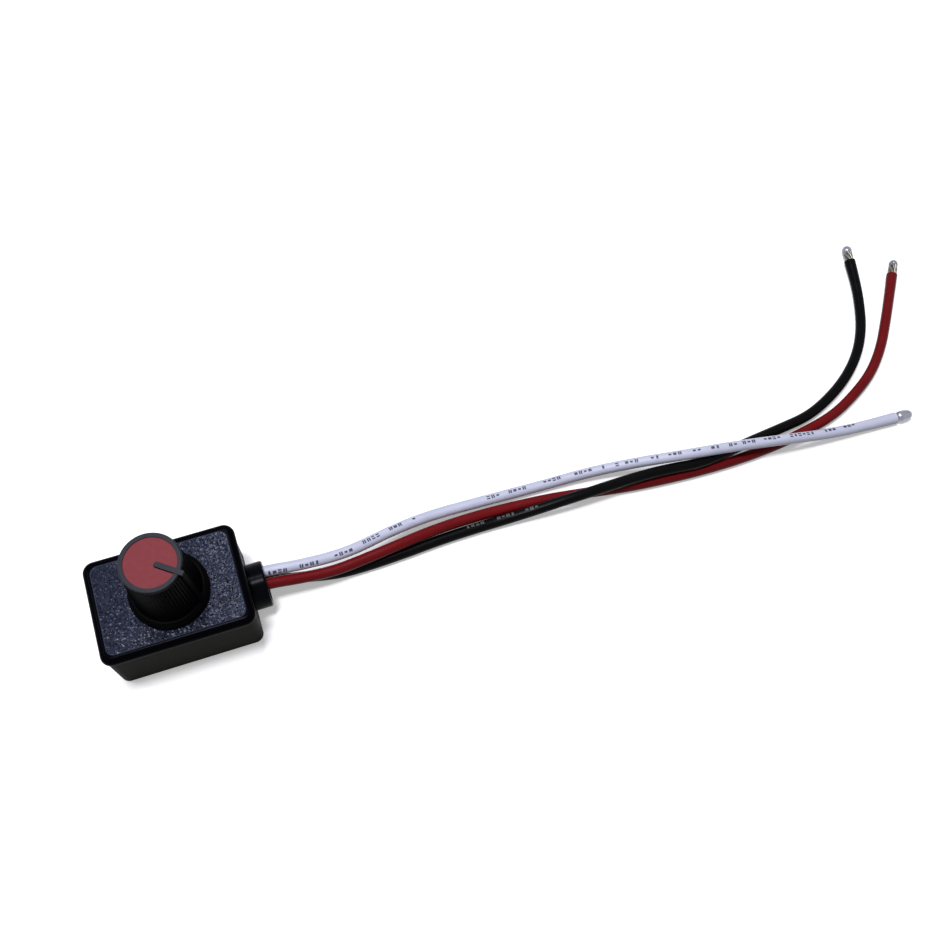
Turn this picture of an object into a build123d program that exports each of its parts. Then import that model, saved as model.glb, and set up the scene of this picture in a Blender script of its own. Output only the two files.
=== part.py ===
from build123d import *
import math
import os

# Small dimmer box with a knob on its lid and three loose wires. Sizes are in millimetres.
# The origin is on the surface that the box stands on, under the middle of the box.
# +X runs along the box to the cable outlet, +Z up the knob's axis.

# Lid
lid_length = 28.0
lid_width = 20.0
lid_corner_radius = 2.1
lid_thickness = 1.4
lid_edge_round = 1.25
box_height = 15.0           # from the floor to the lid's face
tongue_depth = 1.6          # rim under the lid that plugs into the shell
tongue_wall = 1.0
boss_radius = 4.8           # ring under the lid that the potentiometer is pulled against
boss_height = 1.0
snap_radius = 0.45          # round ridges that click into grooves of the shell
snap_length = 7.0
snap_stand_out = 0.3

# Base shell
shell_inset = 0.35          # the shell stands in from the lid all round
shell_wall = 1.5
shell_floor = 1.5
cavity_corner_radius = 0.9  # inside the upright corners
outlet_root = 0.75          # the outlet starts this deep in the end wall
shell_base_round = 0.3
seat_gap = 0.1              # between pieces that plug into each other
post_radius = 1.4           # corner posts that carry the circuit board
post_pin_radius = 0.6
post_margin = 1.3           # from the board's edges to the post centres

# Cable outlet
outlet_radius = 4.5
outlet_bore_radius = 3.6
outlet_reach = 3.0          # beyond the lid's edge
outlet_y = -0.4
outlet_lift = 0.5           # between the floor and the outlet
outlet_end_round = 0.4
seal_recess = 0.4           # the seal ends this far inside the outlet's mouth
seal_gap = 0.03             # round each wire and against the outlet's bore

# Knob
knob_x = 0.4
knob_lift = 0.4             # clear space between the lid and the knob
knob_height = 15.8
knob_skirt_radius = 7.25
knob_skirt_height = 1.6
skirt_land = 0.15           # flat ring between the skirt's curve and the ribs
knob_foot_radius = 6.25
knob_top_radius = 5.3
knob_rim_height = 0.9       # plain band above the ribs
knob_rim_round = 0.2
rib_count = 60
rib_depth = 0.28
cap_radius = 4.5
cap_thickness = 0.5
cap_gap = 0.04
cap_recess = 0.15           # the cap's face lies this far below the rim
pointer_slot_gap = 0.12      # each side of the pointer, in the cap
pointer_width = 0.85
pointer_rise = 0.2          # above the rim
pointer_stand_out = 0.7     # beyond the knob's side
pointer_start = 1.2         # from the knob's axis
pointer_angle = -36.5       # degrees from +X, at the knob's anticlockwise end

# Potentiometer
shaft_radius = 3.0
shaft_clearance = 0.05
shaft_flat_depth = 1.5
shaft_length_in_knob = 9.0
bushing_radius = 3.5
bushing_rise = 2.6          # above the lid's face
bushing_hole_gap = 0.1
washer_radius = 5.0
washer_thickness = 0.4
nut_across_flats = 9.0
nut_thickness = 1.6
nut_room = 0.4              # between nut and knob
pot_length = 9.8            # along X
pot_width = 11.4
pot_height = 6.8
pot_corner_radius = 1.0
track_thickness = 1.0
track_margin = 0.8          # housing wall round the track wafer
rotor_radius = 3.9
rotor_thickness = 1.6
rotor_room = 0.3            # clear space round the rotor
wiper_thickness = 0.2
wiper_finger_radius = 0.3
wiper_finger_shares = (0.65, 0.85)   # of the wiper ring's radius, where the two fingers stand
wiper_lift = 0.6            # from the track to the wiper ring
wiper_contact_gap = 0.03
drive_square = 3.4          # square foot of the shaft in the rotor
drive_depth = 1.0
terminal_pitch = 2.5
terminal_width = 0.8
terminal_thickness = 0.4
terminal_inset = 0.7        # from the housing's side
lug_width = 2.0
lug_thickness = 0.6
lead_stick_out = 1.1        # pins and lugs below the board
lead_hole_gap = 0.2

# Circuit board and what is soldered on it
board_thickness = 1.2
board_gap = 0.45            # to the shell's walls
wire_room = 3.35            # between the board and the outlet's wall
joint_radius = 0.95
joint_share = 0.8           # of the pins' stick-out that the solder climbs
stand_off = 0.1             # under the bodies of chips that stand on leads
mould_draft = 5             # degrees, on the sides of moulded chips
lead_root = 0.3             # leads and pads start this far inside a chip's body
chip_length = 2.0
chip_width = 1.25
resistor_height = 0.5
ceramic_height = 1.0
mosfet_length = 5.0
mosfet_width = 5.8
mosfet_height = 1.1
mosfet_pad_length = 0.6
mosfet_pad_width = 0.9
mosfet_pad_pitch = 1.4
mosfet_pad_thickness = 0.25
controller_length = 4.9
controller_width = 3.9
controller_height = 1.3
lead_pitch = 1.27
lead_width = 0.4
lead_reach = 1.0            # from the controller's side to the ends of its leads
lead_thickness = 0.2
regulator_length = 2.9
regulator_width = 1.6
regulator_height = 1.1
regulator_lead_reach = 0.55
regulator_lead_pitch = 0.95
diode_length = 2.8
diode_width = 1.8
diode_height = 1.2
diode_foot_reach = 0.5
diode_foot_width = 0.7
can_radius = 2.0
can_height = 4.6
can_base = 4.3
can_base_height = 0.7
can_round = 0.3
mosfet_place = 4.0          # chips' places, from the board's outlet-far edge
regulator_place = 3.5
diode_place = 3.6
can_place = 3.1
diode_side_place = 1.9      # and from the board's long edges
can_side_place = 4.5
chip_gap = 0.25             # between the rows of small chips
regulator_y = -1.6
resistor_spread = 3.4       # chips' places, from the knob's axis
ceramic_spread = 3.9

# Wires
wire_diameter = 2.2
conductor_diameter = 1.5
conductor_length = 2.4      # stripped length on the board
wire_start = 0.6            # from the board's edge to the insulation's end
wire_stand_off = 0.8        # from the board's faces to the wires' axes there
tip_diameter = 1.7
tip_length = 4.0
tip_round = 0.6
solder_radius = 1.3
solder_length = 1.7
bend_share = 0.45           # part of the shorter run that each bend takes up

# Levels that the pieces share, all from the floor
shell_top = box_height - lid_thickness
pot_top = shell_top - boss_height
board_top = pot_top - pot_height
board_bottom = board_top - board_thickness
lead_bottom = board_bottom - lead_stick_out
track_top = board_top + track_thickness
wiper_bottom = track_top + wiper_lift
rotor_bottom = wiper_bottom + wiper_thickness
rotor_top = rotor_bottom + rotor_thickness
bushing_top = box_height + bushing_rise
knob_bottom = box_height + knob_lift
knob_top = knob_bottom + knob_height
skirt_top = knob_bottom + knob_skirt_height
rim_bottom = knob_top - knob_rim_height
cap_seat = knob_top - cap_recess - cap_thickness
nut_top = box_height + washer_thickness + nut_thickness
shaft_top = bushing_top + nut_room + shaft_length_in_knob

# Plan sizes that the pieces share
shell_length = lid_length - 2 * shell_inset
shell_width = lid_width - 2 * shell_inset
shell_corner_radius = lid_corner_radius - shell_inset
cavity_length = shell_length - 2 * shell_wall
cavity_width = shell_width - 2 * shell_wall
tongue_length = cavity_length - 2 * seat_gap
tongue_width = cavity_width - 2 * seat_gap
tongue_corner_radius = cavity_corner_radius - seat_gap
outlet_end = lid_length / 2 + outlet_reach
outlet_z = outlet_lift + outlet_radius
board_left = board_gap - cavity_length / 2
board_right = cavity_length / 2 - wire_room
board_length = board_right - board_left
board_width = cavity_width - 2 * board_gap
board_x = (board_left + board_right) / 2
terminal_x = knob_x + pot_length / 2 - terminal_inset
lug_y = pot_width / 2 - lug_thickness
ceramic_y = controller_width / 2 + lead_reach + chip_gap + chip_length / 2
resistor_y = ceramic_y + (chip_length + chip_width) / 2 + chip_gap
wire_radius = wire_diameter / 2
wire_start_x = board_right + wire_start
wire_top_z = board_top + wire_stand_off
wire_bottom_z = board_bottom - wire_stand_off

# Routes of the three wires from the board, out through the outlet and along the floor.
white_route = [
    (wire_start_x, 2.2, wire_top_z), (12.2, 1.65, 6.2), (17.2, 1.68, 6.12), (24.0, 0.9, 5.8), (33.0, 0.95, 4.7),
    (42.5, 3.2, 3.3), (51.0, 4.4, 2.3), (62.0, 4.4, 1.5), (74.5, 4.15, 1.15), (86.0, 3.75, 1.8), (96.0, 2.1, 3.5),
    (104.5, 0.4, 4.85), (112.0, -0.75, 5.5), (120.0, -1.85, 5.3), (127.5, -2.7, 4.3), (136.0, -3.4, 2.6),
    (145.0, -3.75, 1.5), (152.5, -3.9, 1.25),
]
red_route = [
    (wire_start_x, -1.3, wire_top_z), (12.6, -0.9, 6.2), (17.4, -0.75, 5.6), (23.4, -1.25, 4.6), (29.6, -1.6, 3.95),
    (36.2, -0.9, 3.6), (42.4, -0.1, 3.3), (49.5, 1.0, 2.6), (57.5, 1.6, 1.85), (66.0, 1.6, 1.3), (74.5, 1.05, 1.15),
    (82.5, 0.0, 1.2), (91.0, -1.35, 1.15), (99.0, -2.1, 1.2), (107.5, -2.6, 1.15), (116.0, -2.65, 1.2),
    (124.5, -2.15, 1.15), (132.5, -1.0, 1.2), (140.0, 0.65, 1.15), (146.7, 3.85, 1.2), (152.6, 7.6, 1.15),
    (157.5, 12.6, 1.2), (161.5, 18.2, 1.15), (165.2, 23.7, 1.2), (168.5, 28.8, 1.25),
]
black_route = [
    (wire_start_x, 0.5, wire_bottom_z), (12.6, 0.5, 3.8), (17.3, 0.5, 3.45), (23.8, -0.4, 2.3), (30.5, -1.5, 1.3),
    (37.5, -1.55, 1.15), (44.5, -1.25, 1.2), (51.5, -0.75, 1.15), (58.0, -0.6, 1.2), (64.5, -0.65, 1.3),
    (71.0, -0.9, 2.3), (78.0, -1.1, 3.55), (86.0, -1.0, 3.75), (94.0, -0.75, 3.55), (101.0, -1.05, 3.4),
    (107.0, -1.75, 3.4), (113.5, -1.1, 3.1), (120.5, 0.1, 2.3), (127.5, 1.1, 1.5), (134.8, 2.1, 1.2),
    (141.3, 4.85, 1.15), (146.9, 8.3, 1.2), (151.7, 12.7, 1.15), (155.3, 17.9, 1.2), (157.8, 23.7, 1.15),
    (159.6, 29.4, 1.2), (160.8, 34.9, 1.25),
]


def block(length, width, bottom, top, x=0.0, y=0.0):
    """Upright box between two heights, its middle at x, y."""
    return Pos(x, y, (bottom + top) / 2) * Box(length, width, top - bottom)


def rounded_block(length, width, radius, bottom, top):
    """Upright box with rounded corners in plan."""
    return Pos(0, 0, bottom) * extrude(RectangleRounded(length, width, radius), top - bottom)


def rod(radius, bottom, top, x=0.0, y=0.0):
    """Upright round rod between two heights."""
    return Pos(x, y, (bottom + top) / 2) * Cylinder(radius, top - bottom)


def rod_along_x(radius, start, end, y, z):
    """Round rod along X."""
    return Pos((start + end) / 2, y, z) * Rot(0, 90, 0) * Cylinder(radius, end - start)


def snap_ridges(radius):
    """Round ridges along both long sides of the lid's tongue."""
    centre_y = tongue_width / 2 + snap_stand_out - snap_radius
    height = shell_top - tongue_depth / 2
    ridge = Rot(0, 90, 0) * Cylinder(radius, snap_length + 2 * (radius - snap_radius))
    return Pos(0, centre_y, height) * ridge + Pos(0, -centre_y, height) * ridge


def post_places():
    """Centres of the four board posts, in from the board's corners."""
    reach_x = board_length / 2 - post_margin
    reach_y = board_width / 2 - post_margin
    return [(board_x + sx * reach_x, sy * reach_y) for sx in (-1, 1) for sy in (-1, 1)]


def build_base_shell():
    shell = rounded_block(shell_length, shell_width, shell_corner_radius, 0, shell_top)
    shell = fillet(shell.faces().sort_by(Axis.Z)[0].edges(), shell_base_round)
    outlet = rod_along_x(outlet_radius, shell_length / 2 - outlet_root, outlet_end, outlet_y, outlet_z)
    outlet = fillet(outlet.edges().sort_by(Axis.X)[-1], outlet_end_round)
    shell += outlet
    shell -= rounded_block(cavity_length, cavity_width, cavity_corner_radius, shell_floor, shell_top)
    shell -= rod_along_x(outlet_bore_radius, cavity_length / 2 - outlet_root, outlet_end, outlet_y, outlet_z)
    for x, y in post_places():
        shell += rod(post_radius, shell_floor, board_bottom, x, y)
        shell += rod(post_pin_radius, board_bottom, board_top + post_pin_radius, x, y)
    return shell - snap_ridges(snap_radius + seat_gap)


def build_lid():
    plate = rounded_block(lid_length, lid_width, lid_corner_radius, shell_top, box_height)
    plate = fillet(plate.faces().sort_by(Axis.Z)[-1].edges(), min(lid_edge_round, 0.9 * lid_thickness))
    tongue_bottom = shell_top - tongue_depth
    tongue = rounded_block(tongue_length, tongue_width, tongue_corner_radius, tongue_bottom, shell_top)
    tongue -= block(tongue_length - 2 * tongue_wall, tongue_width - 2 * tongue_wall, tongue_bottom, shell_top)
    boss = rod(boss_radius, pot_top, shell_top, knob_x)
    hole = rod(bushing_radius + bushing_hole_gap, pot_top, box_height, knob_x)
    return plate + tongue + snap_ridges(snap_radius) + boss - hole


def build_wire_seal(tubes_with_gap):
    radius = outlet_bore_radius - seal_gap
    seal = rod_along_x(radius, cavity_length / 2, outlet_end - seal_recess, outlet_y, outlet_z)
    for tube in tubes_with_gap:
        seal -= tube
    return seal


def rib_outline(radius, height):
    """Ribbed outline of the knob: crests at radius, valleys rib_depth further in."""
    points = []
    for step in range(2 * rib_count):
        reach = radius if step % 2 == 0 else radius - rib_depth
        angle = math.pi * step / rib_count
        points.append((reach * math.cos(angle), reach * math.sin(angle)))
    return Pos(0, 0, height) * make_face(Polyline(*points, close=True))


def knob_radius_at(height):
    """Radius over the ribs of the tapered knob."""
    share = (height - skirt_top) / (knob_top - skirt_top)
    return knob_foot_radius + share * (knob_top_radius - knob_foot_radius)


def flatted_rod(radius, flat_depth, bottom, top):
    """Round rod with one flat, as on the shaft's end."""
    flat = block(2 * radius, 2 * radius, bottom, top, x=2 * radius - flat_depth)
    return rod(radius, bottom, top) - flat


def pointer_bar(width, start, bottom, top):
    """Bar along +X from near the axis to beyond the knob's side, with a round inner end."""
    tip = knob_radius_at(top) + pointer_stand_out
    bar = block(tip - start, width, bottom, top, x=(tip + start) / 2)
    return bar + rod(width / 2, bottom, top, x=start)


def build_knob_body():
    skirt_curve_radius = knob_skirt_radius - knob_foot_radius - skirt_land
    curve_centre = (knob_skirt_radius - skirt_curve_radius, skirt_top - skirt_curve_radius)
    slant = skirt_curve_radius * math.sqrt(0.5)
    curve_start = (knob_skirt_radius, curve_centre[1])
    curve_middle = (curve_centre[0] + slant, curve_centre[1] + slant)
    curve_end = (curve_centre[0], skirt_top)
    outline = [
        Polyline((0, skirt_top), (0, knob_bottom), (knob_skirt_radius, knob_bottom), curve_start),
        ThreePointArc(curve_start, curve_middle, curve_end),
        Line(curve_end, (0, skirt_top)),
    ]
    knob = revolve(Plane.XZ * make_face(Curve() + outline), Axis.Z)
    knob += loft([rib_outline(knob_foot_radius, skirt_top), rib_outline(knob_radius_at(rim_bottom), rim_bottom)],
                 ruled=True)
    rim = Pos(0, 0, rim_bottom) * extrude(Circle(knob_radius_at(rim_bottom)), knob_rim_height)
    knob += fillet(rim.edges().sort_by(Axis.Z)[-1], knob_rim_round)
    nut_corner_radius = nut_across_flats / math.sqrt(3)
    knob -= rod(nut_corner_radius + nut_room / 2, knob_bottom, bushing_top + nut_room)
    knob -= flatted_rod(shaft_radius + shaft_clearance, shaft_flat_depth, knob_bottom, shaft_top + nut_room)
    knob -= rod(cap_radius + cap_gap, cap_seat, knob_top)
    bar = pointer_bar(pointer_width, pointer_start, cap_seat, knob_top + pointer_rise)
    foot_reach = knob_foot_radius + pointer_stand_out
    top_reach = knob_radius_at(knob_top) + pointer_stand_out
    inner_reach = knob_top_radius - 2 * rib_depth
    side = Polyline((inner_reach, skirt_top), (foot_reach, skirt_top), (top_reach, knob_top),
                    (inner_reach, knob_top), close=True)
    side_rib = extrude(Plane.XZ * make_face(side), pointer_width / 2, both=True)
    return knob + bar + side_rib


def build_knob_cap():
    cap_top = knob_top - cap_recess
    slot_width = pointer_width + 2 * pointer_slot_gap
    return rod(cap_radius, cap_seat, cap_top) - pointer_bar(slot_width, pointer_start, cap_seat, cap_top)


def build_pot_shaft():
    foot = block(drive_square, drive_square, rotor_top - drive_depth, rotor_top)
    round_part = rod(shaft_radius, rotor_top, bushing_top + nut_room)
    return foot + round_part + flatted_rod(shaft_radius, shaft_flat_depth, bushing_top + nut_room, shaft_top)


def build_pot_rotor():
    socket = drive_square + 2 * shaft_clearance
    rotor = rod(rotor_radius, rotor_bottom, rotor_top)
    return rotor - block(socket, socket, rotor_top - drive_depth, rotor_top)


def build_pot_wiper():
    ring_radius = rotor_radius - 2 * wiper_finger_radius
    wiper = rod(ring_radius, wiper_bottom, rotor_bottom) - rod(ring_radius / 2, wiper_bottom, rotor_bottom)
    finger_bottom = track_top + wiper_contact_gap
    for share in wiper_finger_shares:
        wiper += rod(wiper_finger_radius, finger_bottom, wiper_bottom, x=share * ring_radius)
    return wiper


def build_pot_track():
    track_length = pot_length - 2 * track_margin - 2 * seat_gap
    track_width = pot_width - 2 * track_margin - 2 * seat_gap
    return block(track_length, track_width, board_top, track_top, x=knob_x)


def build_pot_housing():
    outline = RectangleRounded(pot_length, pot_width, pot_corner_radius)
    housing = Pos(knob_x, 0, board_top) * extrude(outline, pot_height)
    housing -= block(pot_length - 2 * track_margin, pot_width - 2 * track_margin, board_top, track_top, x=knob_x)
    housing -= rod(rotor_radius + rotor_room, track_top, rotor_top + rotor_room, x=knob_x)
    housing -= rod(shaft_radius + shaft_clearance, rotor_top, pot_top, x=knob_x)
    for side in (-1, 1):
        housing += block(lug_width, lug_thickness, lead_bottom, board_top, x=knob_x, y=side * lug_y)
    return housing


def build_pot_bushing():
    bore = rod(shaft_radius + shaft_clearance, pot_top, bushing_top, x=knob_x)
    return rod(bushing_radius, pot_top, bushing_top, x=knob_x) - bore


def build_pot_washer():
    hole = rod(bushing_radius + seat_gap, box_height, box_height + washer_thickness, x=knob_x)
    return rod(washer_radius, box_height, box_height + washer_thickness, x=knob_x) - hole


def build_pot_nut():
    bottom = box_height + washer_thickness
    hexagon = RegularPolygon(nut_across_flats / 2, 6, major_radius=False)
    nut = Pos(knob_x, 0, bottom) * extrude(hexagon, nut_thickness)
    return nut - rod(bushing_radius + seal_gap, bottom, nut_top, x=knob_x)


def terminal_places():
    return [(terminal_x, row * terminal_pitch) for row in (-1, 0, 1)]


def terminal_pin(x, y):
    return block(terminal_thickness, terminal_width, lead_bottom, board_top, x, y)


def build_pot_terminals():
    return Compound(children=[terminal_pin(x, y) for x, y in terminal_places()])


def build_circuit_board():
    board = block(board_length, board_width, board_bottom, board_top, x=board_x)
    for x, y in post_places():
        board -= rod(post_pin_radius + seat_gap, board_bottom, board_top, x, y)
    for x, y in terminal_places():
        board -= rod(terminal_width / 2 + lead_hole_gap, board_bottom, board_top, x, y)
    for side in (-1, 1):
        slot_length = lug_width + 2 * lead_hole_gap
        slot_width = lug_thickness + 2 * lead_hole_gap
        board -= block(slot_length, slot_width, board_bottom, board_top, x=knob_x, y=side * lug_y)
    return board


def hang_under_board(piece, x, y):
    """A piece built upwards from z = 0 is turned over and set against the board's underside."""
    return Pos(x, y, board_bottom) * Rot(180, 0, 0) * piece


def stand_on_board(piece, x, y):
    return Pos(x, y, board_top) * piece


def build_mosfet():
    """Flat power package: a moulded block on a metal pad, with pads at its end."""
    body = extrude(Rectangle(mosfet_length, mosfet_width), mosfet_height, taper=mould_draft)
    pad_length = lead_root + mosfet_pad_length
    pad_x = mosfet_length / 2 + mosfet_pad_length - pad_length / 2
    for row in (-1, 0, 1):
        body += block(pad_length, mosfet_pad_width, 0, mosfet_pad_thickness, pad_x, row * mosfet_pad_pitch)
    return hang_under_board(body, board_left + mosfet_place, 0)


def build_controller_chip():
    """Eight-legged chip: four bent leads along each long side."""
    chip = Pos(0, 0, stand_off) * extrude(Rectangle(controller_length, controller_width), controller_height,
                                          taper=mould_draft)
    shoulder = stand_off + controller_height / 2
    root_y = controller_width / 2 - lead_root
    knee_y = controller_width / 2 + lead_reach / 3
    knee_end = knee_y + lead_thickness
    foot_end = controller_width / 2 + lead_reach
    for place in range(4):
        x = (place - 1.5) * lead_pitch
        for side in (-1, 1):
            chip += block(lead_width, knee_end - root_y, shoulder - lead_thickness, shoulder, x,
                          side * (root_y + knee_end) / 2)
            chip += block(lead_width, lead_thickness, 0, shoulder, x, side * (knee_y + knee_end) / 2)
            chip += block(lead_width, foot_end - knee_y, 0, lead_thickness, x, side * (knee_y + foot_end) / 2)
    return hang_under_board(chip, knob_x, 0)


def build_regulator():
    """Three-legged chip."""
    body = extrude(Rectangle(regulator_length, regulator_width), regulator_height, taper=mould_draft)
    lead_length = lead_root + regulator_lead_reach
    lead_y = regulator_width / 2 + regulator_lead_reach - lead_length / 2
    for x, side in ((-regulator_lead_pitch, -1), (regulator_lead_pitch, -1), (0, 1)):
        body += block(lead_width, lead_length, 0, lead_thickness, x, side * lead_y)
    return stand_on_board(body, board_left + regulator_place, regulator_y)


def build_flyback_diode():
    """Small moulded diode with a foot at each end."""
    body = extrude(Rectangle(diode_length, diode_width), diode_height, taper=mould_draft)
    foot_length = lead_root + diode_foot_reach
    foot_x = diode_length / 2 + diode_foot_reach - foot_length / 2
    for side in (-1, 1):
        body += block(foot_length, diode_foot_width, 0, lead_thickness, side * foot_x)
    return stand_on_board(body, board_left + diode_place, diode_side_place - board_width / 2)


def build_smoothing_capacitor():
    """Aluminium can on a square plastic base."""
    base = block(can_base, can_base, 0, can_base_height)
    can = Pos(0, 0, can_base_height) * extrude(Circle(can_radius), can_height)
    can = fillet(can.edges().sort_by(Axis.Z)[-1], can_round)
    return stand_on_board(base + can, board_left + can_place, board_width / 2 - can_side_place)


def build_chip_resistors():
    chip = block(chip_length, chip_width, 0, resistor_height)
    places = [(knob_x + sx * resistor_spread, sy * resistor_y) for sx in (-1, 1) for sy in (-1, 1)]
    return Compound(children=[hang_under_board(chip, x, y) for x, y in places])


def build_chip_capacitors():
    chip = block(chip_width, chip_length, 0, ceramic_height)
    places = [(knob_x - ceramic_spread, ceramic_y), (knob_x - ceramic_spread, -ceramic_y),
              (knob_x + ceramic_spread - chip_width, -ceramic_y)]
    return Compound(children=[hang_under_board(chip, x, y) for x, y in places])


def route_direction(first, second):
    return (Vector(*second) - Vector(*first)).normalized()


def bend_radii(route):
    """Radius of each bend: as large as its two runs allow."""
    radii = []
    for before, corner, after in zip(route, route[1:], route[2:]):
        run_in = Vector(*corner) - Vector(*before)
        run_out = Vector(*after) - Vector(*corner)
        turn = math.radians(run_in.get_angle(run_out))
        radii.append(bend_share * min(run_in.length, run_out.length) / math.tan(turn / 2))
    return radii


def tube_along(route, radius):
    path = FilletPolyline(*route, radius=bend_radii(route))
    start = Plane(origin=route[0], z_dir=route_direction(route[0], route[1]))
    return sweep(start * Circle(radius), path=path), path.length


def rod_from(place, direction, radius, length):
    """Round rod from a place on the wire, in the wire's own direction."""
    return extrude(Plane(origin=place, z_dir=direction) * Circle(radius), length)


def build_tip(route):
    """Stripped and tinned end of a wire, its rim rounded by the solder."""
    direction = route_direction(route[-2], route[-1])
    tip = rod_from(route[-1], direction, tip_diameter / 2, tip_length)
    return fillet(tip.edges().sort_by(lambda edge: edge.center().dot(direction))[-1], tip_round)


def build_board_end(route, board_face, side):
    """Stripped end of a wire on its pad, with the solder that covers it."""
    x, y, z = route[0]
    radius = conductor_diameter / 2
    conductor = rod_along_x(radius, x - conductor_length, x + radius, y, z)
    conductor -= rod_from(route[0], route_direction(route[0], route[1]), wire_diameter, wire_diameter)
    mound_x = x - conductor_length + solder_length / 2
    mound = rod_along_x(solder_radius, mound_x - solder_length / 2, mound_x + solder_length / 2, y, board_face)
    mound_box = Box(solder_length, 2 * solder_radius, solder_radius)
    mound &= Pos(mound_x, y, board_face + side * solder_radius / 2) * mound_box
    return mound + conductor


def build_solder_joints():
    """Cones round the potentiometer's pins and mounds over the wires' stripped ends."""
    joints = []
    for x, y in terminal_places():
        height = joint_share * lead_stick_out
        cone = Pos(x, y, board_bottom - height / 2) * Cone(joint_radius / 2, joint_radius, height)
        joints.append(cone - terminal_pin(x, y))
    joints.append(build_board_end(white_route, board_top, 1))
    joints.append(build_board_end(red_route, board_top, 1))
    joints.append(build_board_end(black_route, board_bottom, -1))
    return Compound(children=joints)


def on_knob_axis(piece):
    """Pieces that turn are built about the Z axis with the pointer along +X."""
    return Pos(knob_x, 0, 0) * Rot(0, 0, pointer_angle) * piece


parts = {
    "base_shell": build_base_shell(),
    "lid": build_lid(),
    "knob_body": on_knob_axis(build_knob_body()),
    "knob_cap": on_knob_axis(build_knob_cap()),
    "pot_shaft": on_knob_axis(build_pot_shaft()),
    "pot_rotor": on_knob_axis(build_pot_rotor()),
    "pot_wiper": on_knob_axis(build_pot_wiper()),
    "pot_track": build_pot_track(),
    "pot_housing": build_pot_housing(),
    "pot_bushing": build_pot_bushing(),
    "pot_washer": build_pot_washer(),
    "pot_nut": build_pot_nut(),
    "pot_terminals": build_pot_terminals(),
    "circuit_board": build_circuit_board(),
    "mosfet": build_mosfet(),
    "controller_chip": build_controller_chip(),
    "regulator": build_regulator(),
    "flyback_diode": build_flyback_diode(),
    "smoothing_capacitor": build_smoothing_capacitor(),
    "chip_resistors": build_chip_resistors(),
    "chip_capacitors": build_chip_capacitors(),
    "solder_joints": build_solder_joints(),
}

tubes_with_gap = []
for name, route in (("white", white_route), ("red", red_route), ("black", black_route)):
    tube, length = tube_along(route, wire_radius)
    parts[name + "_wire"] = tube
    parts[name + "_wire_tip"] = build_tip(route)
    tubes_with_gap.append(tube_along(route[:5], wire_radius + seal_gap)[0])
    section = math.pi * wire_radius ** 2
    print(name, "wire: length", round(length, 1), "volume", round(tube.volume, 2),
          "section x length", round(section * length, 2))
    print("  bend radii", [round(radius, 1) for radius in bend_radii(route)])
parts["wire_seal"] = build_wire_seal(tubes_with_gap)

os.makedirs("parts", exist_ok=True)
for name, piece in parts.items():
    export_step(piece, os.path.join("parts", name + ".step"))
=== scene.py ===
import math
import random
import bpy
from mathutils import Matrix, Vector


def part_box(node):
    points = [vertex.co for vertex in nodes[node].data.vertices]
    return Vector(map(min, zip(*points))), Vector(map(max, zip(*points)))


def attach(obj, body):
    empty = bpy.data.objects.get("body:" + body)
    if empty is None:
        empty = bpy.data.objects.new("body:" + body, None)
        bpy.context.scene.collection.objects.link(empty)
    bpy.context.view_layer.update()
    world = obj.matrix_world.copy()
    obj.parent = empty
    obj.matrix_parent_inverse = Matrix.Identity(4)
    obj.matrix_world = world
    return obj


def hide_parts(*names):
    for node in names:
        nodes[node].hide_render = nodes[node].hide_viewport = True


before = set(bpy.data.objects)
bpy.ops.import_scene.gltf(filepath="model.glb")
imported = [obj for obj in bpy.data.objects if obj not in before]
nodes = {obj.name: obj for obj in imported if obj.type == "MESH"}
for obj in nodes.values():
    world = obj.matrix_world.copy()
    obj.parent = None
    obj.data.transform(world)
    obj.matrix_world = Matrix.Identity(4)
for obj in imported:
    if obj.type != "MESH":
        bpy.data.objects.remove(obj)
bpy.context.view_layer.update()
mm = 0.001

# Base shell: the lower half of the box, with the round cable outlet on its end wall.
# One injection moulding in black ABS. The board drops onto its corner posts, and the lid snaps into its rim.


def linear(hex_colour):
    """sRGB hex colour as linear RGBA."""
    channels = [int(hex_colour[i:i + 2], 16) / 255 for i in (1, 3, 5)]
    return [c / 12.92 if c <= 0.04045 else ((c + 0.055) / 1.055) ** 2.4 for c in channels] + [1.0]


def add_node(material, kind, inputs=None, links=None, **settings):
    """One shader node with its settings, its socket values and the outputs that feed it."""
    node = material.node_tree.nodes.new(kind)
    for name, value in settings.items():
        setattr(node, name, value)
    for name, value in (inputs or {}).items():
        node.inputs[name].default_value = value
    for name, output in (links or {}).items():
        material.node_tree.links.new(output, node.inputs[name])
    return node


def new_material(name, values):
    """Material with a Principled shader, whose all-over values are set on its own sockets."""
    material = bpy.data.materials.new(name)
    material.use_nodes = True
    for socket, value in values.items():
        material.node_tree.nodes["Principled BSDF"].inputs[socket].default_value = value
    return material


def feed_shader(material, outputs):
    """Outputs that drive the Principled shader's sockets."""
    for socket, output in outputs.items():
        material.node_tree.links.new(output, material.node_tree.nodes["Principled BSDF"].inputs[socket])


def dress(node_name, material):
    """A CAD node takes a material in place of its plain one."""
    slots = nodes[node_name].data.materials
    slots.clear()
    slots.append(material)


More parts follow.
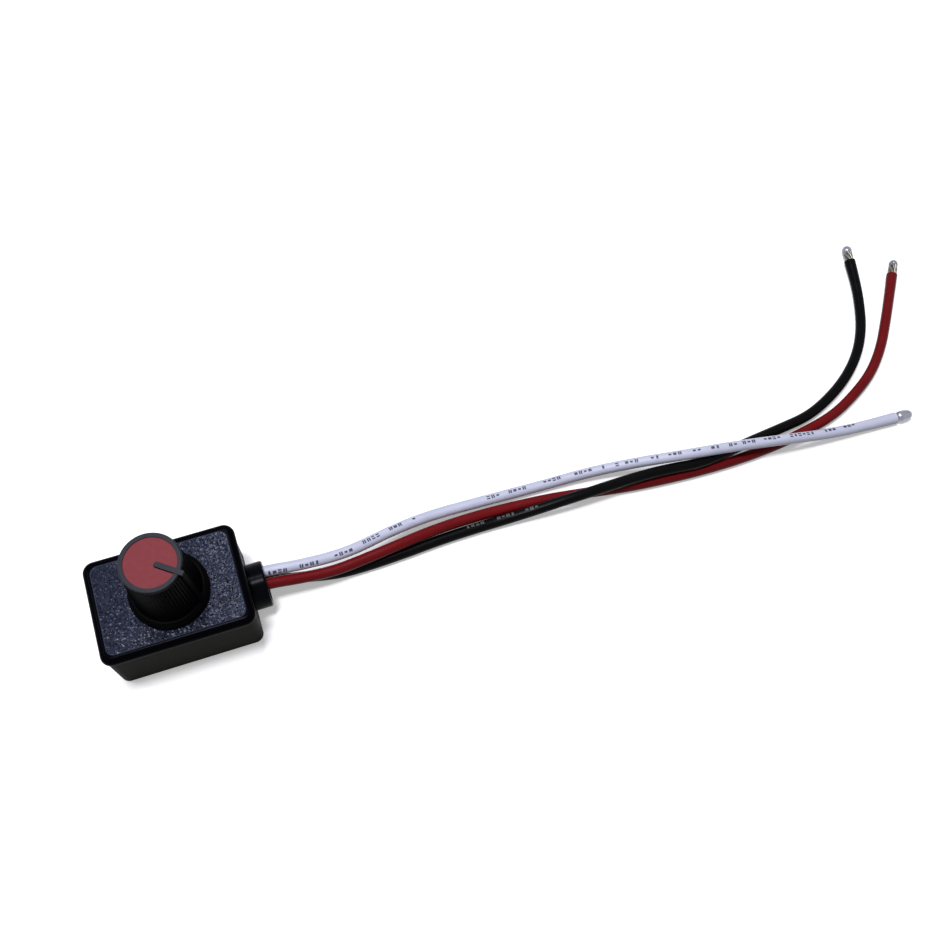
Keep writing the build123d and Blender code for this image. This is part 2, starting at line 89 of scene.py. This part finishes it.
# Black ABS from a satin tool: warm charcoal, with next to no shine on the walls.
# The outlet is polished, so it shows a soft streak of light along its top.
outlet_start = 13.6 * mm
polish_fade = 0.2 * mm
ripple_length = 2.5 * mm
ripple_depth = 0.004 * mm
satin_abs = new_material("black_abs_satin_moulded", {"IOR": 1.52})
place = add_node(satin_abs, "ShaderNodeTexCoord").outputs["Object"]
ripple = add_node(satin_abs, "ShaderNodeTexNoise", {"Scale": 1 / ripple_length, "Detail": 2.0},
                  {"Vector": place}).outputs["Fac"]
along = add_node(satin_abs, "ShaderNodeSeparateXYZ", links={"Vector": place}).outputs["X"]
outlet = add_node(satin_abs, "ShaderNodeMapRange", {"From Min": outlet_start, "From Max": outlet_start + polish_fade},
                  {"Value": along}).outputs["Result"]
wall_colour = add_node(satin_abs, "ShaderNodeMix", {"A": linear("#0c0b08"), "B": linear("#11100c")},
                       {"Factor": ripple}, data_type="RGBA").outputs["Result"]
colour = add_node(satin_abs, "ShaderNodeMix", {"B": linear("#030409")}, {"A": wall_colour, "Factor": outlet},
                  data_type="RGBA").outputs["Result"]
roughness = add_node(satin_abs, "ShaderNodeMapRange", {"To Min": 0.5, "To Max": 0.22},
                     {"Value": outlet}).outputs["Result"]
shine = add_node(satin_abs, "ShaderNodeMapRange", {"To Min": 0.01, "To Max": 0.022},
                 {"Value": outlet}).outputs["Result"]
waves = add_node(satin_abs, "ShaderNodeBump", {"Distance": ripple_depth}, {"Height": ripple}).outputs["Normal"]
feed_shader(satin_abs, {"Base Color": colour, "Roughness": roughness, "Specular IOR Level": shine, "Normal": waves})
dress("base_shell", satin_abs)

# Circuit board: glass-epoxy laminate under green solder mask, cut to drop inside the shell onto four pins.
# The chips lie on it under black moulding epoxy, with ceramic chips and one aluminium can.
# Everything is reflow-soldered, and only the wires and the potentiometer's pins are soldered by hand.

# Green solder mask over laminate: glossy lacquer with the faint squares of the glass weave under it.
weave_pitch = 0.5 * mm
weave_depth = 0.01 * mm
board_mask = new_material("fr4_green_solder_mask", {"Roughness": 0.3, "IOR": 1.5, "Coat Weight": 0.3})
place = add_node(board_mask, "ShaderNodeTexCoord").outputs["Object"]
weave = add_node(board_mask, "ShaderNodeTexChecker", {"Scale": 1 / weave_pitch}, {"Vector": place}).outputs["Fac"]
colour = add_node(board_mask, "ShaderNodeMix", {"A": linear("#0f4a2c"), "B": linear("#12552f")}, {"Factor": weave},
                  data_type="RGBA").outputs["Result"]
threads = add_node(board_mask, "ShaderNodeBump", {"Strength": 0.3, "Distance": weave_depth},
                   {"Height": weave}).outputs["Normal"]
feed_shader(board_mask, {"Base Color": colour, "Normal": threads})
dress("circuit_board", board_mask)


def mottled(name, dark, light, gloss, blotch, relief, values, stretch=(1, 1, 1)):
    """A surface whose colour, gloss and height wander a little, in blotches of one size."""
    material = new_material(name, values)
    place = add_node(material, "ShaderNodeTexCoord").outputs["Object"]
    stretched = add_node(material, "ShaderNodeMapping", {"Scale": stretch}, {"Vector": place}).outputs["Vector"]
    blotches = add_node(material, "ShaderNodeTexNoise", {"Scale": 1 / blotch, "Detail": 3.0},
                        {"Vector": stretched}).outputs["Fac"]
    colour = add_node(material, "ShaderNodeMix", {"A": linear(dark), "B": linear(light)}, {"Factor": blotches},
                      data_type="RGBA").outputs["Result"]
    roughness = add_node(material, "ShaderNodeMapRange",
                         {"From Min": 0.3, "From Max": 0.7, "To Min": gloss[0], "To Max": gloss[1]},
                         {"Value": blotches}).outputs["Result"]
    normal = add_node(material, "ShaderNodeBump", {"Distance": relief}, {"Height": blotches}).outputs["Normal"]
    feed_shader(material, {"Base Color": colour, "Roughness": roughness, "Normal": normal})
    return material


# Moulding epoxy: matt charcoal, with the fine sand of its silica filler.
chip_epoxy = mottled("epoxy_moulding_compound_matt", "#18181a", "#242427", (0.55, 0.65), 0.15 * mm, 0.01 * mm,
                     {"IOR": 1.55})
for name in ("mosfet", "controller_chip", "regulator", "flyback_diode", "pot_rotor"):
    dress(name, chip_epoxy)

# Fired ceramic: a fine-grained tan body.
ceramic = mottled("fired_ceramic_tan", "#8a6a48", "#a38460", (0.4, 0.5), 0.2 * mm, 0.005 * mm, {"IOR": 1.6})
dress("chip_resistors", ceramic)
dress("chip_capacitors", ceramic)

# Drawn aluminium: fine upright drawing lines round the can.
can_aluminium = mottled("drawn_aluminium_bright", "#b9bbbd", "#d0d2d4", (0.22, 0.38), 0.08 * mm, 0.002 * mm,
                        {"Metallic": 1.0}, stretch=(1, 1, 0.05))
dress("smoothing_capacitor", can_aluminium)

# Hand-soldered joints: bright tin-lead, wetted smooth, with a faint frost where it froze.
solder = mottled("tin_lead_solder_hand_made", "#a9abad", "#cfd1d2", (0.18, 0.42), 0.25 * mm, 0.005 * mm,
                 {"Metallic": 1.0})
dress("solder_joints", solder)

# Potentiometer: a small turning resistor, whose threaded bushing passes through the lid under a washer and nut.
# The body is folded and zinc-plated steel, the wafer is phenolic paper, and the shaft is turned aluminium.

# Zinc-plated steel: cool grey, with the slightly cloudy shine of thin plating.
zinc_steel = mottled("zinc_plated_steel", "#a5a8ab", "#c2c5c8", (0.24, 0.4), 1.0 * mm, 0.002 * mm, {"Metallic": 1.0})
for name in ("pot_housing", "pot_bushing", "pot_washer", "pot_nut", "pot_terminals"):
    dress(name, zinc_steel)

# Turned aluminium: rings left by the lathe round the shaft.
turned_aluminium = mottled("turned_aluminium", "#b4b6b8", "#cdcfd0", (0.24, 0.38), 0.12 * mm, 0.003 * mm,
                           {"Metallic": 1.0}, stretch=(0.02, 0.02, 1))
dress("pot_shaft", turned_aluminium)

# Spring brass: warm and bright, with fine rolling lines.
spring_brass = mottled("rolled_spring_brass", "#b08d48", "#c9a75e", (0.2, 0.34), 0.1 * mm, 0.002 * mm,
                       {"Metallic": 1.0}, stretch=(0.1, 1, 1))
dress("pot_wiper", spring_brass)

# Phenolic paper with a printed carbon track: brown and satin, mottled by its fibres.
phenolic = mottled("phenolic_paper_satin", "#3a2113", "#54331e", (0.4, 0.5), 0.5 * mm, 0.005 * mm, {"IOR": 1.55})
dress("pot_track", phenolic)

# Wires: three loose hook-up wires, 2.2 mm over PVC, stranded copper inside, soldered to the board's end.
# They leave through the outlet side by side, lie along the floor and cross over one another.
# The photograph shows each one whole, so its length is the seen run with a short run inside the box.

wire_diameter = 2.2 * mm
wire_routes = {
    # Points of each wire's line in millimetres, from the board through the outlet to its bare end.
    "white": [
        (9.4, 2.2, 6.6), (12.2, 1.65, 6.2), (17.2, 1.68, 6.12), (24.0, 0.9, 5.8), (33.0, 0.95, 4.7),
        (42.5, 3.2, 3.3), (51.0, 4.4, 2.3), (62.0, 4.4, 1.5), (74.5, 4.15, 1.15), (86.0, 3.75, 1.8), (96.0, 2.1, 3.5),
        (104.5, 0.4, 4.85), (112.0, -0.75, 5.5), (120.0, -1.85, 5.3), (127.5, -2.7, 4.3), (136.0, -3.4, 2.6),
        (145.0, -3.75, 1.5), (152.5, -3.9, 1.25),
    ],
    "red": [
        (9.4, -1.3, 6.6), (12.6, -0.9, 6.2), (17.4, -0.75, 5.6), (23.4, -1.25, 4.6), (29.6, -1.6, 3.95),
        (36.2, -0.9, 3.6), (42.4, -0.1, 3.3), (49.5, 1.0, 2.6), (57.5, 1.6, 1.85), (66.0, 1.6, 1.3),
        (74.5, 1.05, 1.15), (82.5, 0.0, 1.2), (91.0, -1.35, 1.15), (99.0, -2.1, 1.2), (107.5, -2.6, 1.15),
        (116.0, -2.65, 1.2), (124.5, -2.15, 1.15), (132.5, -1.0, 1.2), (140.0, 0.65, 1.15), (146.7, 3.85, 1.2),
        (152.6, 7.6, 1.15), (157.5, 12.6, 1.2), (161.5, 18.2, 1.15), (165.2, 23.7, 1.2), (168.5, 28.8, 1.25),
    ],
    "black": [
        (9.4, 0.5, 3.8), (12.6, 0.5, 3.8), (17.3, 0.5, 3.45), (23.8, -0.4, 2.3), (30.5, -1.5, 1.3),
        (37.5, -1.55, 1.15), (44.5, -1.25, 1.2), (51.5, -0.75, 1.15), (58.0, -0.6, 1.2), (64.5, -0.65, 1.3),
        (71.0, -0.9, 2.3), (78.0, -1.1, 3.55), (86.0, -1.0, 3.75), (94.0, -0.75, 3.55), (101.0, -1.05, 3.4),
        (107.0, -1.75, 3.4), (113.5, -1.1, 3.1), (120.5, 0.1, 2.3), (127.5, 1.1, 1.5), (134.8, 2.1, 1.2),
        (141.3, 4.85, 1.15), (146.9, 8.3, 1.2), (151.7, 12.7, 1.15), (155.3, 17.9, 1.2), (157.8, 23.7, 1.15),
        (159.6, 29.4, 1.2), (160.8, 34.9, 1.25),
    ],
}
end_flare = {"white": 1.13, "red": 1.08, "black": 1.13}     # where stripping has opened the insulation


def wire_curve(name, points, diameter, flare):
    """Smooth line through soft bends, with the points of the route as its control points."""
    curve = bpy.data.curves.new(name, "CURVE")
    curve.dimensions = "3D"
    spline = curve.splines.new("NURBS")
    spline.points.add(len(points) - 1)
    for point, (x, y, z) in zip(spline.points, points):
        point.co = (x * mm, y * mm, z * mm, 1)
    spline.points[-1].radius = flare
    spline.order_u = 3
    spline.use_endpoint_u = True
    spline.resolution_u = 12
    curve.bevel_depth = diameter / 2
    curve.bevel_resolution = 7
    curve.use_fill_caps = True
    piece = bpy.data.objects.new(name, curve)
    bpy.context.scene.collection.objects.link(piece)
    return piece


def across(direction):
    """Two directions square to a wire: the one most nearly upward, and the one to its left."""
    left = Vector((0, 0, 1)).cross(direction).normalized()
    return direction.cross(left), left


def skinned(name, skins, material):
    """Mesh of closed skins, each drawn over rings of points that run anticlockwise about the way ahead."""
    vertices, faces = [], []
    for rings in skins:
        start, count = len(vertices), len(rings[0])
        for ring in rings:
            vertices.extend(ring)
        for low in range(start, start + (len(rings) - 1) * count, count):
            faces.extend((low + i, low + (i + 1) % count, low + count + (i + 1) % count, low + count + i)
                         for i in range(count))
        faces.append(tuple(range(start + count - 1, start - 1, -1)))
        faces.append(tuple(range(len(vertices) - count, len(vertices))))
    mesh = bpy.data.meshes.new(name)
    mesh.from_pydata(vertices, [], faces)
    mesh.materials.append(material)
    piece = bpy.data.objects.new(name, mesh)
    bpy.context.scene.collection.objects.link(piece)
    return piece


# Extruded PVC: a soft gloss, with faint lengthwise waves and a little dirt from handling.
wire_materials = {
    "white": mottled("white_pvc_extruded", "#b2b5ca", "#c6c8db", (0.34, 0.46), 1.4 * mm, 0.01 * mm,
                     {"IOR": 1.53, "Specular IOR Level": 0.3}, stretch=(0.4, 1, 1)),
    "red": mottled("red_pvc_extruded", "#5c0a0f", "#6e1217", (0.28, 0.36), 1.4 * mm, 0.01 * mm,
                   {"IOR": 1.53, "Specular IOR Level": 0.06}, stretch=(0.4, 1, 1)),
    "black": mottled("black_pvc_extruded", "#030304", "#090a0b", (0.24, 0.32), 1.4 * mm, 0.01 * mm,
                     {"IOR": 1.53, "Specular IOR Level": 0.035}, stretch=(0.4, 1, 1)),
}

# Tinned strands: twisted together and soaked in solder, and dull. Their colour is darkened all over as painted shade
# for the grooves between the strands.
# The drop at the very end froze smooth and bright.
strand_metal_painted_shade = mottled("tinned_copper_strands", "#4e4a45", "#8d8982", (0.25, 0.42), 0.3 * mm, 0.004 * mm,
                        {"Metallic": 1.0})
solder_drop = mottled("tin_solder_drop_bright", "#6c6e7a", "#a9abb7", (0.14, 0.3), 0.9 * mm, 0.01 * mm,
                      {"Metallic": 1.0})
strand_count = 6
strand_radius = 0.34 * mm
strand_circle = 0.66 * mm
strand_lay = 11 * mm
strand_start = -0.3 * mm
strand_end = 3.2 * mm
strand_steps = 14
strand_sides = 10
core_sides = 24
drop_profiles = {
    # Distance from the insulation's end and radius of the drop, in millimetres.
    "white": [(0.1, 0.6), (0.5, 1.02), (1.0, 1.18), (1.7, 1.23), (2.4, 1.2), (3.1, 1.05), (3.6, 0.78), (3.88, 0.45),
              (3.97, 0.15)],
    "red": [(2.3, 0.6), (2.6, 0.92), (3.0, 0.98), (3.4, 0.88), (3.75, 0.6), (3.92, 0.35), (3.97, 0.12)],
    "black": [(1.9, 0.6), (2.3, 1.0), (2.8, 1.12), (3.3, 1.02), (3.7, 0.7), (3.9, 0.4), (3.97, 0.15)],
}


def round_ring(centre, direction, radius, count):
    """Points of a circle about a line, anticlockwise about the way ahead."""
    up, left = across(direction)
    turns = [2 * math.pi * step / count for step in range(count)]
    return [centre + radius * (math.cos(turn) * up - math.sin(turn) * left) for turn in turns]


def bare_end(name, points, material):
    """Twisted strands round a soldered core."""
    root = Vector(points[-1]) * mm
    direction = (Vector(points[-1]) - Vector(points[-2])).normalized()
    up, left = across(direction)
    skins = [[round_ring(root + direction * reach, direction, strand_circle, core_sides)
              for reach in (strand_start, strand_end)]]
    for strand in range(strand_count):
        rings = []
        for step in range(strand_steps + 1):
            reach = strand_start + (strand_end - strand_start) * step / strand_steps
            turn = 2 * math.pi * (strand / strand_count + reach / strand_lay)
            centre = root + direction * reach + strand_circle * (math.cos(turn) * up + math.sin(turn) * left)
            rings.append(round_ring(centre, direction, strand_radius, strand_sides))
        skins.append(rings)
    return skinned(name, skins, material)


def drop_end(name, points, profile, material):
    """A drop of solder frozen on the end of the strands."""
    root = Vector(points[-1]) * mm
    direction = (Vector(points[-1]) - Vector(points[-2])).normalized()
    return skinned(name, [[round_ring(root + direction * reach * mm, direction, radius * mm, core_sides)
                           for reach, radius in profile]], material)


# Ink: a thin, slightly matt film, put on the running wire by a printing wheel.
# The marks are plain blocks, bars and dashes that stand for no word or number.
wire_inks = {
    "white": mottled("black_printing_ink", "#262a40", "#3d425a", (0.45, 0.6), 0.3 * mm, 0.0, {"IOR": 1.5}),
    "black": mottled("pale_printing_ink", "#2c2e30", "#4a4c4e", (0.45, 0.6), 0.3 * mm, 0.0, {"IOR": 1.5}),
}
ink_rise = 0.012 * mm
ink_depth = 0.05 * mm      # how far a stroke reaches into the insulation, so that it closes on it
ink_pitch = 1.0 * mm
ink_steps = 6
ink_strokes = [
    # Length along the wire, width round it, shift round it and, where two stand side by side, shift along it, in mm.
    [(0.3, 0.75, 0.0, -0.2), (0.3, 0.75, 0.0, 0.2)],
    [(0.7, 0.6, 0.0)],
    [(0.42, 0.75, 0.0)],
    [(0.7, 0.28, 0.24), (0.7, 0.28, -0.24)],
    [(0.6, 0.4, 0.0)],
]
ink_groups = {
    # Start of each group along the wire in millimetres, strokes in it, and degrees left of the wire's top.
    "white": [
        (8.6, 4, -46), (14.7, 4, -36), (21.5, 4, -18), (27.6, 4, 4), (33.6, 3, 12), (38.7, 1, 14), (54.6, 3, 4),
        (59.3, 4, 6), (66.8, 4, 12), (73.5, 4, 6), (79.3, 1, 4), (82.2, 1, 2), (84.2, 3, 2), (89.5, 2, 4),
        (93.1, 3, 8), (98.1, 2, 8), (101.9, 2, 6), (105.6, 2, 4), (108.5, 3, 8), (113.1, 4, 14), (119.1, 6, 14),
        (127.5, 3, 18), (132.3, 3, 24),
    ],
    "black": [(48.5, 4, 25), (55.0, 4, 22), (61.0, 3, 15)],
}


def line_points(wire):
    """Points along a wire's middle, read from its own spline."""
    bare_curve = wire.data.copy()
    bare_curve.bevel_depth = 0
    bare = bpy.data.objects.new("bare_line", bare_curve)
    line = bpy.data.meshes.new_from_object(bare)
    places = [vertex.co.copy() for vertex in line.vertices]
    bpy.data.objects.remove(bare)
    bpy.data.curves.remove(bare_curve)
    bpy.data.meshes.remove(line)
    return places


def place_along(places, distance):
    """Point and direction at a distance along a line."""
    for first, second in zip(places, places[1:]):
        step = (second - first).length
        if distance <= step:
            return first.lerp(second, distance / step), (second - first).normalized()
        distance -= step
    return places[-1], (places[-1] - places[-2]).normalized()


def ink_print(name, wire, groups, material):
    """Thin strokes that follow the round of the insulation."""
    rng = random.Random(7)
    places = line_points(wire)
    inner, outer = wire_diameter / 2 - ink_depth, wire_diameter / 2 + ink_rise
    skins = []
    for start, count, lean in groups:
        for mark in range(count):
            for length, width, shift, *ahead in rng.choice(ink_strokes):
                middle = math.radians(lean) + shift * mm / outer
                spread = width * mm / outer
                sweep = [middle + spread * (step / ink_steps - 0.5) for step in range(ink_steps + 1)]
                rings = []
                for reach in (-length / 2, 0, length / 2):
                    centre, direction = place_along(places, (start + sum(ahead) + reach) * mm + mark * ink_pitch)
                    up, left = across(direction)
                    rings.append([centre + outer * (math.cos(turn) * up + math.sin(turn) * left)
                                  for turn in reversed(sweep)]
                                 + [centre + inner * (math.cos(turn) * up + math.sin(turn) * left) for turn in sweep])
                skins.append(rings)
    return skinned(name, skins, material)


for colour, points in wire_routes.items():
    wire = wire_curve(colour + "_insulation", points, wire_diameter, end_flare[colour])
    wire.data.materials.append(wire_materials[colour])
    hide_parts(colour + "_wire")
    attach(wire, "housing")
    strands = bare_end(colour + "_bare_strands", points, strand_metal_painted_shade)
    strands.data.shade_smooth()
    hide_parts(colour + "_wire_tip")
    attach(strands, "housing")
    drop = drop_end(colour + "_solder_drop", points, drop_profiles[colour], solder_drop)
    drop.data.shade_smooth()
    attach(drop, "housing")
    if colour in ink_groups:
        ink = ink_print(colour + "_wire_print", wire, ink_groups[colour], wire_inks[colour])
        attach(ink, "housing")

# Seal: a plug of grey-black sealing compound that fills the outlet and grips the three wires in it.
# It is poured in as a liquid and sets to a matt, slightly lumpy rubber.
sealing_compound = mottled("sealing_compound_matt", "#0c0c0e", "#161618", (0.65, 0.75), 0.8 * mm, 0.03 * mm,
                           {"IOR": 1.45})
dress("wire_seal", sealing_compound)

# Lid: a black ABS cover that snaps onto the shell, its face spark-eroded in the tool and its rounded edge polished.
# The grain stops at the start of the rounded edge, which stays glossy all round.

lid_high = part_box("lid")[1]
face_inset = 1.4 * mm
face_corner = 1.5 * mm
face_half_x = lid_high.x - face_inset
face_half_y = lid_high.y - face_inset
grain_size = 0.3 * mm      # real spark grain is about 0.1 mm; drawn coarser so that it shows
grain_depth = 0.03 * mm
facet_spread = 0.17        # how far a grain's facet leans from the face, at most half of this
mask_fade = 0.15 * mm
# The next three set the painted highlight round the grain: where it sits, how wide and how strong.
painted_highlight_inset = 0.08 * mm
painted_highlight_width = 0.12 * mm
painted_highlight_strength = 0.45

# Spark-eroded ABS: blue-black, with glinting facets; the polished edge beside it is plain black.
grained_abs = new_material("black_abs_spark_eroded",
                           {"IOR": 1.52, "Roughness": 0.2, "Specular Tint": linear("#d3d7ea")})
place = add_node(grained_abs, "ShaderNodeTexCoord").outputs["Object"]
axes = add_node(grained_abs, "ShaderNodeSeparateXYZ", links={"Vector": place})
# How far outside the grained face a point lies: a rectangle with round corners.
outside = []
for axis, half in (("X", face_half_x), ("Y", face_half_y)):
    size = add_node(grained_abs, "ShaderNodeMath", links={0: axes.outputs[axis]}, operation="ABSOLUTE").outputs[0]
    past = add_node(grained_abs, "ShaderNodeMath", {1: half - face_corner}, {0: size},
                    operation="SUBTRACT").outputs[0]
    outside.append(add_node(grained_abs, "ShaderNodeMath", {1: 0.0}, {0: past}, operation="MAXIMUM").outputs[0])
corner = add_node(grained_abs, "ShaderNodeCombineXYZ", links={"X": outside[0], "Y": outside[1]}).outputs["Vector"]
reach = add_node(grained_abs, "ShaderNodeVectorMath", links={0: corner}, operation="LENGTH").outputs["Value"]
face_mask = add_node(grained_abs, "ShaderNodeMapRange",
                     {"From Min": face_corner - mask_fade, "From Max": face_corner, "To Min": 1.0, "To Max": 0.0},
                     {"Value": reach}).outputs["Result"]
grains = add_node(grained_abs, "ShaderNodeTexVoronoi", {"Scale": 1 / grain_size}, {"Vector": place})
pits = add_node(grained_abs, "ShaderNodeMath", {1: 0.3, 2: 1.7}, {0: grains.outputs["Distance"]},
                operation="MULTIPLY_ADD").outputs[0]
pits = add_node(grained_abs, "ShaderNodeMath", links={0: pits, 1: face_mask}, operation="MULTIPLY").outputs[0]
relief = add_node(grained_abs, "ShaderNodeBump", {"Distance": grain_depth}, {"Height": pits}).outputs["Normal"]
# Each grain is a facet with a tilt of its own, so that some glint and some stay dark.
tilt = add_node(grained_abs, "ShaderNodeVectorMath", {1: (0.5, 0.5, 0.5)}, {0: grains.outputs["Color"]},
                operation="SUBTRACT").outputs[0]
facet_tilt = add_node(grained_abs, "ShaderNodeMapRange", {"To Max": facet_spread},
                      {"Value": face_mask}).outputs["Result"]
tilt = add_node(grained_abs, "ShaderNodeVectorMath", links={0: tilt, "Scale": facet_tilt},
                operation="SCALE").outputs[0]
normal = add_node(grained_abs, "ShaderNodeVectorMath", links={0: relief, 1: tilt}, operation="ADD").outputs[0]
normal = add_node(grained_abs, "ShaderNodeVectorMath", links={0: normal}, operation="NORMALIZE").outputs[0]
shade = add_node(grained_abs, "ShaderNodeSeparateXYZ", links={"Vector": grains.outputs["Color"]}).outputs["Z"]
face_colour = add_node(grained_abs, "ShaderNodeMix", {"A": linear("#06080f"), "B": linear("#22273c")},
                       {"Factor": shade}, data_type="RGBA").outputs["Result"]
colour = add_node(grained_abs, "ShaderNodeMix", {"A": linear("#030306")}, {"B": face_colour, "Factor": face_mask},
                  data_type="RGBA").outputs["Result"]
# A fine bright line is painted round the grain: a painted highlight of the raised face's edge.
off_painted_highlight = add_node(grained_abs, "ShaderNodeMath", {1: face_corner - painted_highlight_inset}, {0: reach},
                    operation="SUBTRACT").outputs[0]
off_painted_highlight = add_node(grained_abs, "ShaderNodeMath", links={0: off_painted_highlight}, operation="ABSOLUTE").outputs[0]
line = add_node(grained_abs, "ShaderNodeMapRange", {"From Max": painted_highlight_width, "To Min": painted_highlight_strength, "To Max": 0.0},
                {"Value": off_painted_highlight}).outputs["Result"]
colour = add_node(grained_abs, "ShaderNodeMix", {"B": linear("#4d5269")}, {"A": colour, "Factor": line},
                  data_type="RGBA").outputs["Result"]
shine = add_node(grained_abs, "ShaderNodeMapRange", {"To Min": 0.012, "To Max": 0.1},
                 {"Value": face_mask}).outputs["Result"]
feed_shader(grained_abs, {"Base Color": colour, "Specular IOR Level": shine, "Normal": normal})
dress("lid", grained_abs)

# Knob: a push-on knob for a flatted 6 mm shaft, moulded in black ABS with sixty fine ribs and a raised pointer.
# A thin red disc, slotted for the pointer, is pressed into its top.

# Black ABS: near black and matt on the ribs, with a polished top on the rim and the pointer. That top is also painted
# a lighter blue-grey, a painted sheen of the light it reflects.
polish_and_sheen_height = 31 * mm
top_fade = 0.1 * mm
scuff_size = 1.2 * mm
scuff_depth = 0.004 * mm
knob_abs = new_material("black_abs_knob_polished_top_painted_sheen", {"IOR": 1.52})
place = add_node(knob_abs, "ShaderNodeTexCoord").outputs["Object"]
scuffs = add_node(knob_abs, "ShaderNodeTexNoise", {"Scale": 1 / scuff_size, "Detail": 3.0},
                  {"Vector": place}).outputs["Fac"]
height = add_node(knob_abs, "ShaderNodeSeparateXYZ", links={"Vector": place}).outputs["Z"]
polish_and_painted_sheen = add_node(knob_abs, "ShaderNodeMapRange",
                    {"From Min": polish_and_sheen_height, "From Max": polish_and_sheen_height + top_fade},
                    {"Value": height}).outputs["Result"]
# Painted sheen: the top of the rim and the pointer gets a lighter colour than the sides.
painted_sheen_colour = add_node(knob_abs, "ShaderNodeMix", {"A": linear("#1b1d24"), "B": linear("#23252d")},
                      {"Factor": scuffs}, data_type="RGBA").outputs["Result"]
colour = add_node(knob_abs, "ShaderNodeMix", {"A": linear("#030304")}, {"B": painted_sheen_colour, "Factor": polish_and_painted_sheen},
                  data_type="RGBA").outputs["Result"]
roughness = add_node(knob_abs, "ShaderNodeMapRange", {"To Min": 0.42, "To Max": 0.34},
                     {"Value": scuffs}).outputs["Result"]
shine = add_node(knob_abs, "ShaderNodeMapRange", {"To Min": 0.012, "To Max": 0.09},
                 {"Value": polish_and_painted_sheen}).outputs["Result"]
relief = add_node(knob_abs, "ShaderNodeBump", {"Distance": scuff_depth}, {"Height": scuffs}).outputs["Normal"]
feed_shader(knob_abs, {"Base Color": colour, "Roughness": roughness, "Specular IOR Level": shine, "Normal": relief})
dress("knob_body", knob_abs)

# Red ABS with a matt face, a little mottled.
cap_abs = mottled("red_abs_matt_disc", "#70252c", "#792d34", (0.5, 0.62), 0.8 * mm, 0.008 * mm,
                  {"IOR": 1.5, "Specular IOR Level": 0.15})
dress("knob_cap", cap_abs)

# Studio: a white table in front of white walls, under soft light from above and from the left.
# A low lamp behind the lid's outlet end lights its grain.

floor_half = 400 * mm
table_brightness = 0.33
light_on_object = 0.22
floor_mesh = bpy.data.meshes.new("floor")
floor_mesh.from_pydata([(-floor_half, -floor_half, 0), (floor_half, -floor_half, 0), (floor_half, floor_half, 0),
                        (-floor_half, floor_half, 0)], [], [(0, 1, 2, 3)])
floor = bpy.data.objects.new("floor", floor_mesh)
bpy.context.scene.collection.objects.link(floor)
floor_paint = new_material("white_table_paint_matt", {"Roughness": 0.9, "Specular IOR Level": 0.0,
                                                      "Emission Color": linear("#ffffff")})
floor_mesh.materials.append(floor_paint)

world = bpy.data.worlds.new("studio")
bpy.context.scene.world = world
world.use_nodes = True


def shown_rays(owner):
    """1 for the rays that show the studio: the camera's, reflections and through glass; 0 for the rest."""
    path = add_node(owner, "ShaderNodeLightPath").outputs
    shown = add_node(owner, "ShaderNodeMath", links={0: path["Is Camera Ray"], 1: path["Is Glossy Ray"]},
                     operation="MAXIMUM").outputs[0]
    return add_node(owner, "ShaderNodeMath", links={0: shown, 1: path["Is Transmission Ray"]},
                    operation="MAXIMUM").outputs[0]


# The table is white to the eye, and throws back less light than that on the object's sides.
shown = shown_rays(floor_paint)
table_colour = add_node(floor_paint, "ShaderNodeMix", {"A": linear("#646464"), "B": linear("#f4f4f4")},
                        {"Factor": shown}, data_type="RGBA").outputs["Result"]
table_glow = add_node(floor_paint, "ShaderNodeMapRange", {"To Max": table_brightness},
                      {"Value": shown}).outputs["Result"]
feed_shader(floor_paint, {"Base Color": table_colour, "Emission Strength": table_glow})
background = world.node_tree.nodes["Background"]
background.inputs["Color"].default_value = linear("#ffffff")
sky = add_node(world, "ShaderNodeMapRange", {"To Min": light_on_object, "To Max": 1.0},
               {"Value": shown_rays(world)}).outputs["Result"]
world.node_tree.links.new(sky, background.inputs["Strength"])


def softbox(name, place, aim, size, power, colour):
    """Square lamp that faces a point."""
    lamp = bpy.data.lights.new(name, "AREA")
    lamp.shape = "SQUARE"
    lamp.size = size
    lamp.energy = power
    lamp.color = linear(colour)[:3]
    piece = bpy.data.objects.new(name, lamp)
    piece.location = place
    piece.rotation_euler = (Vector(aim) - Vector(place)).to_track_quat("-Z", "Y").to_euler()
    bpy.context.scene.collection.objects.link(piece)


softbox("key_softbox", (-0.06, 0.055, 0.85), (0.04, 0.01, 0), 0.14, 4.8, "#fbfbff")
softbox("left_softbox", (-0.45, 0.3, 0.71), (0, 0, 0.015), 0.12, 0.7, "#f8f9ff")
softbox("grain_softbox", (0.035, 0.235, 0.51), (0.01, 0, 0.015), 0.07, 0.95, "#eef1ff")

# The photograph's camera, from the box's edges.
camera_azimuth = math.radians(-24.911)
camera_elevation = math.radians(66.781)
camera_distance = 226.241 * mm
camera_roll = math.radians(6.884)
camera_target = Vector((62.947, 10.774, 0)) * mm
towards_camera = Vector((math.sin(camera_azimuth) * math.cos(camera_elevation),
                         -math.cos(camera_azimuth) * math.cos(camera_elevation), math.sin(camera_elevation)))
camera_data = bpy.data.cameras.new("camera")
camera_data.sensor_width = 36
camera_data.lens = 41.642
camera_data.clip_start = 0.01
camera = bpy.data.objects.new("camera", camera_data)
bpy.context.scene.collection.objects.link(camera)
level = towards_camera.to_track_quat("Z", "Y")
camera.matrix_world = (Matrix.Translation(camera_target + camera_distance * towards_camera)
                       @ level.to_matrix().to_4x4() @ Matrix.Rotation(camera_roll, 4, "Z"))
bpy.context.scene.camera = camera
bpy.context.scene.view_settings.view_transform = "Standard"
